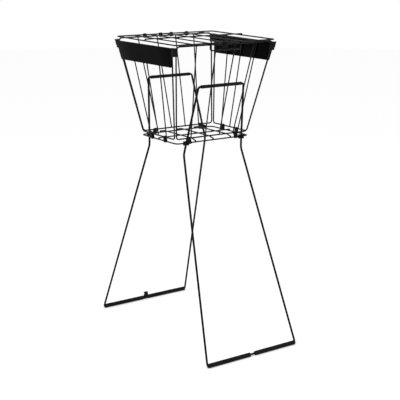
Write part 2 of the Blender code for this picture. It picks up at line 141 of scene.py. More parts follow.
def seenDirectly(tree):
    # 1 for what the camera, a gloss or a clear piece sees of the stage, 0 for its light
    rays = addNode(tree, "ShaderNodeLightPath").outputs
    seen = mathNode(tree, "ADD", rays["Is Camera Ray"], rays["Is Glossy Ray"])
    return mathNode(tree, "ADD", seen, rays["Is Transmission Ray"], clamp=True)


def makeCamera():
    camera = addObject("studioCamera", bpy.data.cameras.new("studioCamera"))
    placeFacing(camera, turnedWay(cameraView["azimuth"], cameraView["elevation"]),
                cameraView["distance"], cameraView["aimHeight"])
    camera.data.sensor_width = 36.0
    camera.data.lens = cameraView["lens"]
    camera.data.shift_x = cameraView["shiftX"]
    bpy.context.scene.camera = camera


def makeSky():
    world = bpy.data.worlds.new("studioSky")
    world.use_nodes = True
    tree = world.node_tree
    tree.nodes.clear()
    strength = addNode(tree, "ShaderNodeMix", {"Factor": seenDirectly(tree), 2: studio["skyLight"],
                                               3: 1.0}, data_type="FLOAT")
    sky = addNode(tree, "ShaderNodeBackground", {"Color": (1, 1, 1, 1),
                                                 "Strength": strength.outputs[0]})
    addNode(tree, "ShaderNodeOutputWorld", {"Surface": sky.outputs[0]})
    bpy.context.scene.world = world


def makeFloor():
    shape = bmesh.new()
    bmesh.ops.create_circle(shape, cap_ends=True, segments=96, radius=studio["floorRadius"])
    mesh = bpy.data.meshes.new("studioFloor")
    shape.to_mesh(mesh)
    shape.free()
    floor = addObject("studioFloor", mesh)
    material, tree, surface = newMaterial("studioFloor")
    shade = studio["floorShade"]
    surface["Base Color"].default_value = (shade, shade, shade, 1)
    surface["Roughness"].default_value = studio["floorRoughness"]
    surface["Specular IOR Level"].default_value = 0.0
    surface["Emission Color"].default_value = (1, 1, 1, 1)
    glow = mathNode(tree, "MULTIPLY", seenDirectly(tree), studio["floorGlow"])
    tree.links.new(glow, surface["Emission Strength"])
    mesh.materials.append(material)


makeCamera()
makeSky()
makeFloor()
addLamp("keyLamp", "SUN", turnedWay(studio["keyAzimuth"], studio["keyElevation"]),
        studio["keyDistance"], studio["lampAim"], energy=studio["keyStrength"],
        angle=math.radians(studio["keySoftness"]))
addLamp("topLamp", "AREA", Vector((0, studio["topLean"], 1)).normalized(),
        studio["topDistance"], studio["lampAim"], energy=studio["topPower"],
        size=studio["topSize"])
addLamp("fillLamp", "AREA", turnedWay(studio["fillAzimuth"], studio["fillElevation"]),
        studio["fillDistance"], studio["fillAim"], energy=studio["fillPower"],
        size=studio["fillSize"])
bpy.context.scene.view_settings.view_transform = "Standard"
print("studio ready")


# Effects that the finishes share

number, colour, direction = "NodeSocketFloat", "NodeSocketColor", "NodeSocketVector"


def nodeGroup(name, inputs, outputs):
    group = bpy.data.node_groups.new(name, "ShaderNodeTree")
    for label, kind, value in inputs:
        socket = group.interface.new_socket(name=label, in_out="INPUT", socket_type=kind)
        socket.default_value = value
    for label, kind in outputs:
        group.interface.new_socket(name=label, in_out="OUTPUT", socket_type=kind)
    return group, addNode(group, "NodeGroupInput").outputs


def spotsAt(group, size):
    # feeds for a texture whose spots are about size metres across, in the piece's own place
    return {"Vector": addNode(group, "ShaderNodeTexCoord").outputs["Object"],
            "Scale": mathNode(group, "DIVIDE", 1.0, size)}


def noiseAt(group, size, detail, stretch=None):
    feeds = spotsAt(group, size)
    if stretch:
        feeds["Vector"] = addNode(group, "ShaderNodeVectorMath", {0: feeds["Vector"], 1: stretch},
                                  operation="MULTIPLY").outputs[0]
    return addNode(group, "ShaderNodeTexNoise", {**feeds, "Detail": detail}).outputs[0]


def toneDriftGroup():
    # slow change between two tones of one colour
    group, given = nodeGroup(
        "toneDrift", [("Deep Tone", colour, (0.01, 0.01, 0.01, 1)),
                      ("Pale Tone", colour, (0.02, 0.02, 0.02, 1)),
                      ("Patch Size", number, 0.05)], [("Color", colour)])
    patches = rangeNode(group, noiseAt(group, given["Patch Size"], 3.0), 0.35, 0.65,
                        interpolation_type="SMOOTHSTEP")
    addNode(group, "NodeGroupOutput",
            {"Color": mixNode(group, patches, given["Deep Tone"], given["Pale Tone"])})
    return group


def settledDustGroup():
    # a thin veil of dust where the surface faces up
    group, given = nodeGroup(
        "settledDust", [("Color", colour, (0.01, 0.01, 0.01, 1)),
                        ("Dust Color", colour, (0.2, 0.19, 0.17, 1)),
                        ("Amount", number, 0.05)], [("Color", colour), ("Dust", number)])
    normal = addNode(group, "ShaderNodeNewGeometry").outputs["Normal"]
    up = addNode(group, "ShaderNodeSeparateXYZ", {0: normal}).outputs["Z"]
    facing = rangeNode(group, up, 0.35, 1.0, interpolation_type="SMOOTHSTEP")
    specks = rangeNode(group, noiseAt(group, 0.0011, 4.0), 0.38, 0.66)
    lying = mathNode(group, "MULTIPLY", facing, specks)
    dust = mathNode(group, "MULTIPLY", lying, given["Amount"])
    addNode(group, "NodeGroupOutput",
            {"Color": mixNode(group, dust, given["Color"], given["Dust Color"]), "Dust": dust})
    return group


def handledSheenGroup():
    # roughness that wanders with handling, and rises under dust
    group, given = nodeGroup(
        "handledSheen", [("Polished", number, 0.25), ("Dull", number, 0.40),
                         ("Patch Size", number, 0.02), ("Dust", number, 0.0)],
        [("Roughness", number)])
    sheen = rangeNode(group, noiseAt(group, given["Patch Size"], 4.0), 0.3, 0.7,
                      given["Polished"], given["Dull"])
    addNode(group, "NodeGroupOutput",
            {"Roughness": mathNode(group, "MULTIPLY_ADD", given["Dust"], 0.5, sheen, clamp=True)})
    return group


def sprayedSkinGroup():
    # the soft ripple of a sprayed and baked coat, with a few fine nibs
    group, given = nodeGroup(
        "sprayedSkin", [("Ripple Size", number, 0.0018), ("Nibs", number, 0.2)],
        [("Height", number)])
    ripple = noiseAt(group, given["Ripple Size"], 1.0)
    nibs = rangeNode(group, noiseAt(group, 0.0007, 2.0), 0.62, 0.75)
    addNode(group, "NodeGroupOutput",
            {"Height": mathNode(group, "MULTIPLY_ADD", nibs, given["Nibs"], ripple)})
    return group


def mouldGrainGroup():
    # the etched grain that a mould leaves on plastic or rubber
    group, given = nodeGroup("mouldGrain", [("Grain Size", number, 0.0006)],
                             [("Height", number)])
    pits = addNode(group, "ShaderNodeTexVoronoi", spotsAt(group, given["Grain Size"]),
                   feature="SMOOTH_F1").outputs["Distance"]
    cloud = noiseAt(group, given["Grain Size"], 3.0)
    addNode(group, "NodeGroupOutput", {"Height": mathNode(group, "ADD", pits, cloud)})
    return group


def hairScratchGroup():
    # faint hair scratches along a face, as a mask
    group, given = nodeGroup(
        "hairScratches", [("Stretch", direction, (1, 0.03, 1)), ("Spacing", number, 0.0009)],
        [("Scratch", number)])
    streaks = noiseAt(group, given["Spacing"], 2.0, given["Stretch"])
    line = rangeNode(group, streaks, 0.66, 0.74)
    broken = rangeNode(group, noiseAt(group, 0.02, 2.0), 0.45, 0.6)
    addNode(group, "NodeGroupOutput", {"Scratch": mathNode(group, "MULTIPLY", line, broken)})
    return group


effects = {group.name: group for group in (
    toneDriftGroup(), settledDustGroup(), handledSheenGroup(), sprayedSkinGroup(),
    mouldGrainGroup(), hairScratchGroup())}


# Finishes

def addEffect(tree, name, feeds):
    return addNode(tree, "ShaderNodeGroup", feeds, node_tree=effects[name])


def makeFinish(name, finish):
    # colour, dust and sheen that every finish has; its own relief comes after
    material, tree, surface = newMaterial(name)
    tone = addEffect(tree, "toneDrift", {"Deep Tone": (*finish["deepTone"], 1),
                                         "Pale Tone": (*finish["paleTone"], 1),
                                         "Patch Size": finish["patchSize"]})
    dust = addEffect(tree, "settledDust", {"Color": tone.outputs["Color"],
                                           "Dust Color": (*finish["dustTone"], 1),
                                           "Amount": finish["dust"]})
    sheen = addEffect(tree, "handledSheen", {"Polished": finish["polished"],
                                             "Dull": finish["dull"],
                                             "Patch Size": finish["sheenPatch"],
                                             "Dust": dust.outputs["Dust"]})
    tree.links.new(dust.outputs["Color"], surface["Base Color"])
    tree.links.new(sheen.outputs["Roughness"], surface["Roughness"])
    surface["Specular IOR Level"].default_value = finish["specular"]
    return material, sheen.outputs["Roughness"]


def addRelief(material, height, finish):
    tree = material.node_tree
    bump = addNode(tree, "ShaderNodeBump", {"Strength": finish["reliefStrength"],
                                            "Distance": finish["reliefDepth"], "Height": height})
    tree.links.new(bump.outputs[0], tree.nodes["Principled BSDF"].inputs["Normal"])


def addSkin(material, finish):
    skin = addEffect(material.node_tree, "sprayedSkin", {"Ripple Size": finish["rippleSize"],
                                                         "Nibs": finish["nibs"]})
    addRelief(material, skin.outputs["Height"], finish)


wireCoat = {                 # black powder coat on steel wire
    "deepTone": (0.0020, 0.0020, 0.0022),
    "paleTone": (0.0046, 0.0046, 0.0050),
    "patchSize": 0.045,
    "dustTone": (0.17, 0.165, 0.155),
    "dust": 0.012,
    "polished": 0.18,
    "dull": 0.30,
    "sheenPatch": 0.022,
    "specular": 0.08,
    "rippleSize": 0.0019,
    "nibs": 0.25,
    "reliefStrength": 0.35,
    "reliefDepth": 0.00010,
}
clipPlastic = {              # moulded clips, catches and hooks
    "deepTone": (0.0028, 0.0028, 0.0030),
    "paleTone": (0.0058, 0.0058, 0.0061),
    "patchSize": 0.018,
    "dustTone": (0.16, 0.155, 0.15),
    "dust": 0.02,
    "polished": 0.30,
    "dull": 0.44,
    "sheenPatch": 0.009,
    "specular": 0.08,
    "grainSize": 0.0007,
    "reliefStrength": 0.30,
    "reliefDepth": 0.00006,
}
plateGloss = {               # bare gloss sheet of the side plates
    "deepTone": (0.0014, 0.0014, 0.0016),
    "paleTone": (0.0028, 0.0028, 0.0030),
    "patchSize": 0.06,
    "dustTone": (0.15, 0.148, 0.145),
    "dust": 0.006,
    "polished": 0.14,
    "dull": 0.24,
    "sheenPatch": 0.03,
    "specular": 0.014,
    "scratchSpacing": 0.0010,
    "scratchStretch": (1.0, 0.04, 1.0),
    "scratchDepth": 0.16,
    "rippleSize": 0.006,
    "nibs": 0.05,
    "reliefStrength": 0.10,
    "reliefDepth": 0.00010,
}
gripRubber = {               # ribbed sleeves on the foot bars
    "deepTone": (0.0030, 0.0030, 0.0032),
    "paleTone": (0.0068, 0.0067, 0.0066),
    "patchSize": 0.03,
    "dustTone": (0.18, 0.17, 0.155),
    "dust": 0.03,
    "polished": 0.42,
    "dull": 0.60,
    "sheenPatch": 0.016,
    "specular": 0.10,
    "grainSize": 0.0009,
    "reliefStrength": 0.45,
    "reliefDepth": 0.00010,
}


def wireCoatFinish():
    material = makeFinish("wireCoat", wireCoat)[0]
    addSkin(material, wireCoat)
    return material


def grainedFinish(name, finish):
    material = makeFinish(name, finish)[0]
    grain = addEffect(material.node_tree, "mouldGrain", {"Grain Size": finish["grainSize"]})
    addRelief(material, grain.outputs["Height"], finish)
    return material


def plateGlossFinish():
    material, roughness = makeFinish("plateGloss", plateGloss)
    tree = material.node_tree
    scratches = addEffect(tree, "hairScratches", {"Spacing": plateGloss["scratchSpacing"],
                                                  "Stretch": plateGloss["scratchStretch"]})
    rubbed = mathNode(tree, "MULTIPLY_ADD", scratches.outputs["Scratch"],
                      plateGloss["scratchDepth"], roughness, clamp=True)
    tree.links.new(rubbed, tree.nodes["Principled BSDF"].inputs["Roughness"])
    addSkin(material, plateGloss)
    return material


finishes = {                 # material, and the slot it belongs to
    "wire": (wireCoatFinish(), "coated_wire"),
    "clip": (grainedFinish("clipPlastic", clipPlastic), "moulded_clip"),
    "plate": (plateGlossFinish(), "sign_plate"),
    "grip": (grainedFinish("gripRubber", gripRubber), "grip"),
}
print("finishes ready:", ", ".join(finishes))


# Ways of making wire, clips and sleeves

def bendAt(corner, before, after, radius, steps):
    # points of a bend of one radius between two straight runs
    toBefore = (before - corner).normalized()
    toAfter = (after - corner).normalized()
    half = 0.5 * toBefore.angle(toAfter)
    centre = corner + (toBefore + toAfter).normalized() * radius / math.sin(half)
    start = corner + toBefore * radius / math.tan(half) - centre
    end = corner + toAfter * radius / math.tan(half) - centre
    sweep = start.angle(end)
    return [centre + (start * math.sin((1 - k / steps) * sweep)
                      + end * math.sin(k / steps * sweep)) / math.sin(sweep)
            for k in range(steps + 1)]


def bentLine(corners, radii, steps, closed=True):
    # bends of the given radii; an open line keeps its end corners sharp
    corners = [Vector(c) for c in corners]
    line = []
    for k, corner in enumerate(corners):
        if not closed and k in (0, len(corners) - 1):
            line.append(corner)
        else:
            line += bendAt(corner, corners[k - 1], corners[(k + 1) % len(corners)], radii[k], steps)
    return line


def skinRings(shape, rings, closed=False):
    loops = [[shape.verts.new(spot) for spot in ring] for ring in rings]
    pairs = list(zip(loops, loops[1:]))
    if closed:
        pairs.append((loops[-1], loops[0]))
    else:
        shape.faces.new(list(reversed(loops[0])))
        shape.faces.new(loops[-1])
    for low, high in pairs:
        count = len(low)
        for k in range(count):
            n = (k + 1) % count
            shape.faces.new((low[k], low[n], high[n], high[k]))


def sweepWire(shape, line, radius, closed=False, sides=20, shares=None):
    # round wire along a line; shares scale its radius from point to point
    count = len(line)
    ways = [(line[(k + 1) % count] - line[k]).normalized() for k in range(count)]
    if not closed:
        ways[-1] = ways[-2]
    least = min(range(3), key=lambda axis: max(abs(way[axis]) for way in ways))
    side = Vector([float(axis == least) for axis in range(3)])
    rings = []
    for k, spot in enumerate(line):
        before = ways[k - 1] if closed or k else ways[0]
        way = (before + ways[k]).normalized()
        across = way.cross(side).normalized()
        up = across.cross(way)
        reach = radius * (shares[k] if shares else 1.0)
        rings.append([spot + (across * math.cos(math.tau * n / sides)
                              + up * math.sin(math.tau * n / sides)) * reach
                      for n in range(sides)])
    skinRings(shape, rings, closed)


def shapeEnds(line, profile):
    # gives both ends of a line the profile's points: distance from the end, share of the radius
    first, last = line[0], line[-1]
    startWay = (line[1] - first).normalized()
    endWay = (line[-2] - last).normalized()
    head = [first + startWay * distance for distance, share in profile]
    tail = [last + endWay * distance for distance, share in reversed(profile)]
    shares = [share for distance, share in profile]
    return head + line[1:-1] + tail, shares + [1.0] * (len(line) - 2) + shares[::-1]


def roundedEnd(edge, steps=4):
    # quarter round at an end: distance in from the end, and how far the side draws in there
    turns = [0.5 * math.pi * k / steps for k in range(steps + 1)]
    return [(edge * (1 - math.cos(turn)), edge * (1 - math.sin(turn))) for turn in turns]


def cutEnd(radius, edge=0.45):
    # profile of a sheared wire's end, its edge rounded under the coat
    return [(radius * along, 1 - inset) for along, inset in roundedEnd(edge)]


def endedWire(shape, line, radius, profile, sides=18):
    line, shares = shapeEnds(line, profile)
    sweepWire(shape, line, radius, sides=sides, shares=shares)


def weldedLoop(shape, line, radius, swell=0.07, reach=0.0035):
    # a closed wire, with a ring of flash where its two ends were welded, halfway along a run
    run = 3 * len(line) // 4
    first, last = line[run - 1], line[run]
    middle = (first + last) / 2
    way = (last - first).normalized()
    flash = [(-1.0, 0.0), (-0.4, 0.25), (-0.14, 1.0), (0.14, 1.0), (0.4, 0.25), (1.0, 0.0)]
    joint = [middle + way * reach * along for along, share in flash]
    shares = [1.0] * run + [1.0 + swell * share for along, share in flash]
    shares += [1.0] * (len(line) - run)
    sweepWire(shape, line[:run] + joint + line[run:], radius, closed=True, shares=shares)


def addBead(shape, spot, reach):
    # a small puddle of weld between two crossing wires
    bmesh.ops.create_uvsphere(shape, u_segments=16, v_segments=10, radius=1.0,
                              matrix=Matrix.Translation(spot) @ Matrix.Diagonal((*reach, 1.0)))


def smoothMesh(mesh, sharpAngle):
    mesh.shade_smooth()
    mesh.set_sharp_from_angle(angle=math.radians(sharpAngle))


def makePiece(name, shape, sharpAngle=40):
    bmesh.ops.recalc_face_normals(shape, faces=shape.faces)
    mesh = bpy.data.meshes.new(name)
    shape.to_mesh(mesh)
    shape.free()
    smoothMesh(mesh, sharpAngle)
    return addObject(name, mesh)


def roundEdges(piece, width):
    bevel = piece.modifiers.new("edges", "BEVEL")
    bevel.width = width
    bevel.segments = 3
    bevel.limit_method = "ANGLE"
    bevel.angle_limit = math.radians(50)


def flatSolid(name, outline, thickness, matrix, edge):
    # an outline given a thickness about its own plane, its edges rounded
    shape = bmesh.new()
    skinRings(shape, [[matrix @ Vector((spot[0], spot[1], w)) for spot in outline]
                      for w in (-0.5 * thickness, 0.5 * thickness)])
    piece = makePiece(name, shape)
    roundEdges(piece, edge)
    return piece


def cutRoom(piece, *rooms):
    for room in rooms:
        cut = piece.modifiers.new(room.name, "BOOLEAN")
        cut.object = room
        cut.operation = "DIFFERENCE"
        cut.solver = "EXACT"


def settleShape(piece, sharpAngle=40):
    # makes the modifiers' result the piece's own mesh
    bpy.context.view_layer.update()
    shown = piece.evaluated_get(bpy.context.evaluated_depsgraph_get())
    mesh = bpy.data.meshes.new_from_object(shown)
    piece.modifiers.clear()
    piece.data = mesh
    smoothMesh(mesh, sharpAngle)


def fitPiece(piece, finish, body, *nodes):
    material, slot = finishes[finish]
    piece.data.materials.clear()
    piece.data.materials.append(material)
    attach(piece, body)
    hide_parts(*nodes)


# Where things are

seatGap = 0.0003             # between two pieces that touch
runningGap = 0.00035         # between a wire and the eye it turns in
basketSize = {               # on wire centres
    "rimHeight": 0.8845,
    "sideRimDrop": 0.0052,   # side panels' top wires below the front one
    "backRimRise": 0.0022,   # back panel's top wire above the front one
    "height": 0.2685,
    "topWidth": 0.350,
    "topDepth": 0.308,
    "bottomWidth": 0.256,
    "bottomDepth": 0.178,
}
rimLine = basketSize["rimHeight"]
sideRimLine = rimLine - basketSize["sideRimDrop"]
backRimLine = rimLine + basketSize["backRimRise"]
floorLine = rimLine - basketSize["height"]
sideLean = 0.5 * (basketSize["topWidth"] - basketSize["bottomWidth"]) / basketSize["height"]
faceLean = 0.5 * (basketSize["topDepth"] - basketSize["bottomDepth"]) / basketSize["height"]
handed = (("left", -1), ("right", 1))
foreAndAft = (("front", -1), ("back", 1))
quarters = [(fore, hand, sx, sy) for fore, sy in foreAndAft for hand, sx in handed]


def halfWidth(z):
    return 0.5 * basketSize["bottomWidth"] + sideLean * (z - floorLine)


def halfDepth(z):
    return 0.5 * basketSize["bottomDepth"] + faceLean * (z - floorLine)


# Panels: a closed loop of wire with upright bars welded inside

panelWires = {
    "loopRadius": 0.0021,
    "barRadius": 0.0018,
    "bend": 0.010,
    "cornerGapTop": 0.008,   # corner line to the loop's edge wire
    "cornerGapBottom": 0.004,
    "frontBars": 4,
    "sideBars": 3,
    "weld": ((0.0, 1.12), (0.0014, 1.20), (0.0021, 1.19), (0.0026, 1.10), (0.0032, 1.03),
             (0.0042, 1.0)),  # distance from the loop's centre, share of the bar's radius
}
loopRadius = panelWires["loopRadius"]


def cornerGap(z):
    top, bottom = panelWires["cornerGapTop"], panelWires["cornerGapBottom"]
    return bottom + (top - bottom) * (z - floorLine) / basketSize["height"]


def onFront(side, share, z):
    return Vector((share * (halfWidth(z) - cornerGap(z)), side * halfDepth(z), z))


def onSide(side, share, z):
    return Vector((side * halfWidth(z), share * (halfDepth(z) - cornerGap(z)), z))


def barShares(bars):
    # even places of the bars between two sides at -1 and 1
    return [2 * (k + 1) / (bars + 1) - 1 for k in range(bars)]


def panelLine(spotOn, side, top):
    corners = [spotOn(side, -1, top), spotOn(side, 1, top),
               spotOn(side, 1, floorLine), spotOn(side, -1, floorLine)]
    return bentLine(corners, [panelWires["bend"]] * 4, steps=12)


panels = {
    "frontPanel": ("front_panel", onFront, -1, rimLine, panelWires["frontBars"]),
    "backPanel": ("back_panel", onFront, 1, backRimLine, panelWires["frontBars"]),
    "leftPanel": ("left_panel", onSide, -1, sideRimLine, panelWires["sideBars"]),
    "rightPanel": ("right_panel", onSide, 1, sideRimLine, panelWires["sideBars"]),
}
for name, (node, spotOn, side, top, bars) in panels.items():
    shape = bmesh.new()
    weldedLoop(shape, panelLine(spotOn, side, top), loopRadius)
    for share in barShares(bars):
        endedWire(shape, [spotOn(side, share, floorLine), spotOn(side, share, top)],
                  panelWires["barRadius"], panelWires["weld"])
    fitPiece(makePiece(name, shape), "wire", "basket", node)
print("panels made")


# Corner clips: an angle of plastic snapped over two neighbouring loops

cornerClip = {
    "height": 0.0245,
    "drop": 0.0025,          # its top below the rim wire's centre
    "arm": 0.0112,
    "outside": 0.0045,
    "inside": 0.0012,
    "hook": 0.0044,          # wall behind the side loop's edge wire
    "plateGap": 0.0009,      # between the nose and the side plate's end
    "edge": 0.0007,
    "bends": (0.0030, 0.0011, 0.0008, 0.0010, 0.0008, 0.0008, 0.0004, 0.0010),
    "grooves": (-0.0062, 0.0062),
    "grooveWidth": 0.0016,
    "grooveSlope": 0.0004,
    "grooveDepth": 0.0006,
}


def wireRoom(name, line, radius):
    # stands for a wire and its clearance when a clip is cut
    shape = bmesh.new()
    sweepWire(shape, line, radius, closed=True, sides=28)
    return makePiece(name, shape)


panelRooms = {name: wireRoom(name + "Room", panelLine(spotOn, side, top), loopRadius + seatGap)
              for name, (node, spotOn, side, top, bars) in panels.items()}


def angleOutline(inset, groove):
    # the nose covers the corner, and the side arm passes under the side plate's end
    low = rimLine - cornerClip["drop"] - cornerClip["height"]
    out = inset + groove - cornerClip["outside"]
    under = inset - loopRadius
    inn, hook, arm = (cornerClip[key] - inset for key in ("inside", "hook", "arm"))
    nose = cornerGap(low) - loopRadius - cornerClip["plateGap"] - inset
    corners = [(out, out, 0), (arm, out, 0), (arm, inn, 0), (hook, inn, 0), (hook, arm, 0),
               (under, arm, 0), (under, nose, 0), (out, nose, 0)]
    return bentLine(corners, cornerClip["bends"], steps=6)


def angleLevels():
    # heights with the inset of the edge and the depth of the groove there
    half = 0.5 * cornerClip["height"]
    rounding = roundedEnd(cornerClip["edge"])
    levels = [(-half + up, inset, 0.0) for up, inset in rounding]
    reach, slope = 0.5 * cornerClip["grooveWidth"], cornerClip["grooveSlope"]
    depth = cornerClip["grooveDepth"]
    for groove in cornerClip["grooves"]:
        levels += [(groove - reach - slope, 0, 0), (groove - reach, 0, depth),
                   (groove + reach, 0, depth), (groove + reach + slope, 0, 0)]
    return levels + [(half - up, inset, 0.0) for up, inset in reversed(rounding)]


def makeCornerClip(name, node, sx, sy, rooms):
    rim = backRimLine if sy > 0 else rimLine
    middle = rim - cornerClip["drop"] - 0.5 * cornerClip["height"]
    place = Matrix(((-sx, 0, sx * sideLean, sx * halfWidth(middle)),
                    (0, -sy, sy * faceLean, sy * halfDepth(middle)),
                    (0, 0, 1, middle), (0, 0, 0, 1)))
    shape = bmesh.new()
    skinRings(shape, [[place @ Vector((spot.x, spot.y, z)) for spot in angleOutline(inset, groove)]
                      for z, inset, groove in angleLevels()])
    clip = makePiece(name, shape)
    cutRoom(clip, *rooms)
    settleShape(clip, 45)
    fitPiece(clip, "clip", "basket", node)


for fore, hand, sx, sy in quarters:
    makeCornerClip(f"cornerClip{fore.title()}{hand.title()}", f"corner_clip_{fore}_{hand}",
                   sx, sy, (panelRooms[fore + "Panel"], panelRooms[hand + "Panel"]))
for room in panelRooms.values():
    bpy.data.objects.remove(room, do_unlink=True)
print("corner clips made")


# Side plates: flat sheets outside the side loops, left bare

sidePlate = {
    "top": 0.0024,           # edges below the rim, along the slope
    "foot": 0.058,
    "thickness": 0.0020,
    "cornerRadius": 0.0045,
    "edge": 0.0006,
}
sideTilt = math.atan(sideLean)


def makeSidePlate(name, node, side):
    offset = loopRadius + seatGap + 0.5 * sidePlate["thickness"]
    down = Vector((-side * math.sin(sideTilt), 0, -math.cos(sideTilt)))
    out = Vector((side * math.cos(sideTilt), 0, -math.sin(sideTilt)))
    rim = Vector((side * halfWidth(rimLine), 0, rimLine))
    rounding = roundedEnd(sidePlate["cornerRadius"], 8)
    rows = [(sidePlate["foot"] - up, drawIn) for up, drawIn in rounding]
    rows += [(sidePlate["top"] + up, drawIn) for up, drawIn in reversed(rounding)]
    shape = bmesh.new()
    strips = []
    for drop, drawIn in rows:
        spot = rim + out * offset + down * drop
        reach = halfDepth(spot.z) - cornerGap(spot.z) + loopRadius - drawIn
        strips.append([shape.verts.new(spot + Vector((0, share * reach, 0)))
                       for share in (-1, -0.5, 0, 0.5, 1)])
    for low, high in zip(strips, strips[1:]):
        for k in range(4):
            shape.faces.new((low[k], low[k + 1], high[k + 1], high[k]))
    plate = makePiece(name, shape)
    sheet = plate.modifiers.new("sheet", "SOLIDIFY")
    sheet.thickness = sidePlate["thickness"]
    sheet.offset = 0.0
    roundEdges(plate, sidePlate["edge"])
    settleShape(plate, 50)
    fitPiece(plate, "plate", "basket", node)


for hand, side in handed:
    makeSidePlate(f"sidePlate{hand.title()}", f"{hand}_sign_plate", side)
print("side plates made")


# Hinge tubes welded across the front and back panels

hingeTube = {
    "drop": 0.1175,          # below the rim
    "radius": 0.0049,
    "edge": 0.0009,
    "endPlay": 0.0007,
    "boreLip": 0.0003,
    "weld": (0.0033, 0.0016, 0.0036),
}
legWire = {
    "radius": 0.0031,
    "hingeWidth": 0.1564,
    "kinkDrop": 0.0336,      # kink below the floor frame
    "kinkWidth": 0.2034,
    "footWidth": 0.3174,
    "footSpread": 0.5892,
    "hingeBend": 0.007,
    "kinkBend": 0.030,
    "footBend": 0.005,
    "leanFactor": 1.02,      # half width of the leaning wire at the floor frame, in its radius
}
hingeLine = rimLine - hingeTube["drop"]
hingeOut = (halfDepth(hingeLine) + (panelWires["barRadius"] + seatGap + hingeTube["radius"])
            / math.cos(math.atan(faceLean)))


def makeHingeTube(name, node, side):
    inner = legWire["radius"] + runningGap
    half = 0.5 * legWire["hingeWidth"] - legWire["hingeBend"] - hingeTube["endPlay"]
    lip = hingeTube["boreLip"]
    rounding = [(half - along, hingeTube["radius"] - inset)
                for along, inset in roundedEnd(hingeTube["edge"])]
    profile = rounding + [(-x, r) for x, r in reversed(rounding)]
    profile += [(-half, inner + lip), (lip - half, inner), (half - lip, inner), (half, inner + lip)]
    shape = bmesh.new()
    rings = [[Vector((x, side * hingeOut + r * math.cos(math.tau * n / 32),
                      hingeLine + r * math.sin(math.tau * n / 32))) for n in range(32)]
             for x, r in profile]
    skinRings(shape, rings, closed=True)
    for share in barShares(panelWires["frontBars"]):
        bar = onFront(side, share, hingeLine)
        if abs(bar.x) < half:
            addBead(shape, bar + Vector((0, side * panelWires["barRadius"], 0)), hingeTube["weld"])
    fitPiece(makePiece(name, shape, 50), "wire", "basket", node)


for fore, side in foreAndAft:
    makeHingeTube(f"hingeTube{fore.title()}", f"{fore}_hinge_tube", side)
print("hinge tubes made")


# Floor: frame, cross wire and three long wires raised in the middle

floorGrid = {
    "drop": 0.012,           # frame below the panels' bottom wires
    "sideInset": 0.001,
    "endReach": 0.005,
    "bend": 0.012,
    "frameRadius": 0.0020,
    "wireRadius": 0.0019,
    "wires": 3,
    "pitch": 0.062,
    "step": 0.018,           # length of the jog at each end of a long wire
    "stepBend": 0.010,
    "tail": 0.0015,
    "bead": (0.0026, 0.0026, 0.0015),
}
frameLine = floorLine - floorGrid["drop"]
floorHalfWidth = 0.5 * basketSize["bottomWidth"] - floorGrid["sideInset"]
floorHalfDepth = 0.5 * basketSize["bottomDepth"] + floorGrid["endReach"]


def floorFrameLine():
    x, y, z = floorHalfWidth, floorHalfDepth, frameLine
    corners = [(-x, -y, z), (x, -y, z), (x, y, z), (-x, y, z)]
    return bentLine(corners, [floorGrid["bend"]] * 4, steps=12)


shape = bmesh.new()
weldedLoop(shape, floorFrameLine(), floorGrid["frameRadius"])
fitPiece(makePiece("floorFrame", shape), "wire", "basket", "floor_frame")

seatedLine = frameLine + floorGrid["frameRadius"] + seatGap + floorGrid["wireRadius"]
raisedLine = seatedLine + 2 * floorGrid["wireRadius"] + seatGap
contactDrop = floorGrid["wireRadius"] + 0.5 * seatGap
wireEnd = cutEnd(floorGrid["wireRadius"])
longWires = [(k - 0.5 * (floorGrid["wires"] - 1)) * floorGrid["pitch"]
             for k in range(floorGrid["wires"])]

shape = bmesh.new()
reach = floorHalfWidth + floorGrid["tail"]
endedWire(shape, [Vector((-reach, 0, seatedLine)), Vector((reach, 0, seatedLine))],
          floorGrid["wireRadius"], wireEnd)
for side in (-1, 1):
    addBead(shape, (side * floorHalfWidth, 0, seatedLine - contactDrop), floorGrid["bead"])
for x in longWires:
    addBead(shape, (x, 0, seatedLine + contactDrop), floorGrid["bead"])
fitPiece(makePiece("floorCrossWire", shape), "wire", "basket", "floor_cross_wire")

outer = floorHalfDepth + floorGrid["tail"]
inner = floorHalfDepth - floorGrid["frameRadius"]
for k, x in enumerate(longWires):
    corners = [(x, -outer, seatedLine), (x, -inner, seatedLine),
               (x, floorGrid["step"] - inner, raisedLine), (x, inner - floorGrid["step"], raisedLine),
               (x, inner, seatedLine), (x, outer, seatedLine)]
    shape = bmesh.new()
    endedWire(shape, bentLine(corners, [floorGrid["stepBend"]] * 6, steps=6, closed=False),
              floorGrid["wireRadius"], wireEnd)
    for side in (-1, 1):
        addBead(shape, (x, side * floorHalfDepth, seatedLine - contactDrop), floorGrid["bead"])
    fitPiece(makePiece(f"floorWire{k + 1}", shape), "wire", "basket", f"floor_wire_{k + 1}")
print("floor made")


# Snap clips with an open eye at each end

snapClip = {
    "wall": 0.0018,
    "mouth": 0.0030,
    "edge": 0.00035,
    "sideWidth": 0.009,      # clips to the side panels
    "endWidth": 0.010,       # clips to the front and back panels
    "barGap": 0.0013,        # between a clip and the bar beside it
}


def arcLine(centre, radius, first, last, steps):
    return [(centre + radius * math.cos(first + (last - first) * k / steps),
             radius * math.sin(first + (last - first) * k / steps)) for k in range(steps + 1)]


